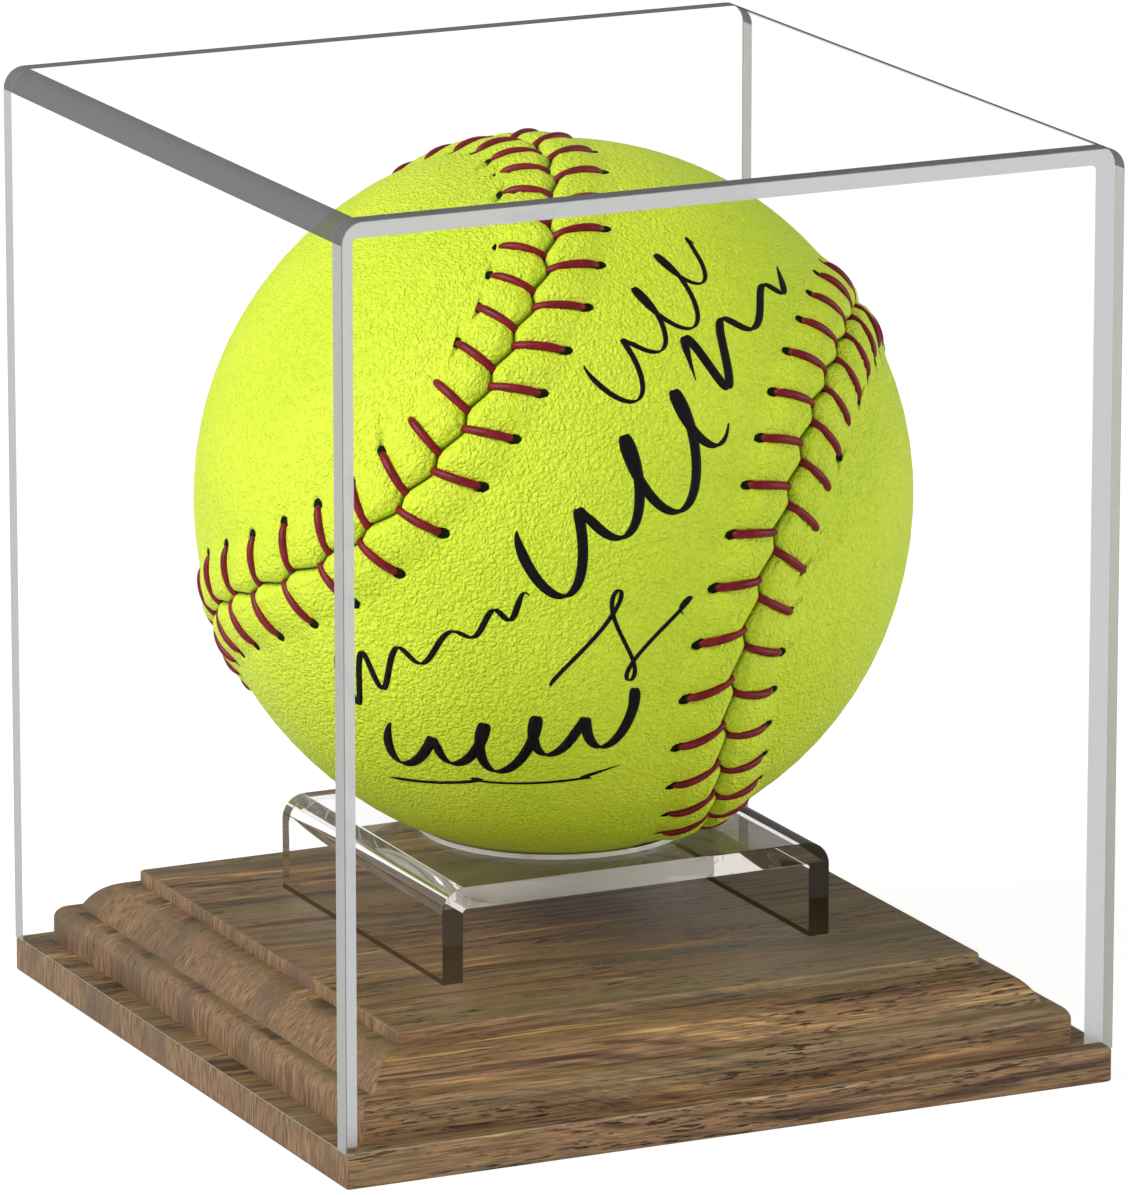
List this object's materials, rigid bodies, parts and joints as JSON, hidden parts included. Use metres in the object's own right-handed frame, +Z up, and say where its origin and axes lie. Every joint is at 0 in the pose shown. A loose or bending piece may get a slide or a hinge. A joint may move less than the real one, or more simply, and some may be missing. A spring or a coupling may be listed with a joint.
{
  "type": "softball display case",
  "caption": "Clear acrylic cube display case on a moulded walnut base, with a clear riser that holds a stitched softball under a lift-off cover.",
  "frame": {"origin": "centre of the underside, where the base rests", "axes": "+Z up, -Y towards the front panel, X across the front along the wood's grain"},
  "size_m": [0.1124, 0.1124, 0.1278],
  "materials": {
    "walnut": "satin oiled walnut, grain along X",
    "felt": "black felt",
    "riser_acrylic": "clear polished acrylic",
    "cover_acrylic": "clear polished acrylic",
    "ball_core_foam": "moulded polyurethane",
    "ball_leather": "optic yellow pebbled leather",
    "stitch_thread": "waxed crimson thread"
  },
  "bodies": {
    "root": {"base_board": "walnut", "base_felt": "felt", "riser": "riser_acrylic"},
    "cover": {"cover_shell": "cover_acrylic", "cover_front_panel": "cover_acrylic", "cover_back_panel": "cover_acrylic"},
    "ball": {"ball_core": "ball_core_foam", "ball_cover_a": "ball_leather", "ball_cover_b": "ball_leather", "ball_stitching": "stitch_thread"}
  },
  "joints": [
    {"name": "cover_lift", "type": "slide", "parent": "root", "child": "cover", "axis": [0, 0, 1], "range_m": [0, 0.135]},
    {"name": "ball_turn", "type": "hinge", "parent": "root", "child": "ball", "pos_m": [0, 0, 0.07424], "axis": [0, 0, 1], "continuous": true}
  ]
}
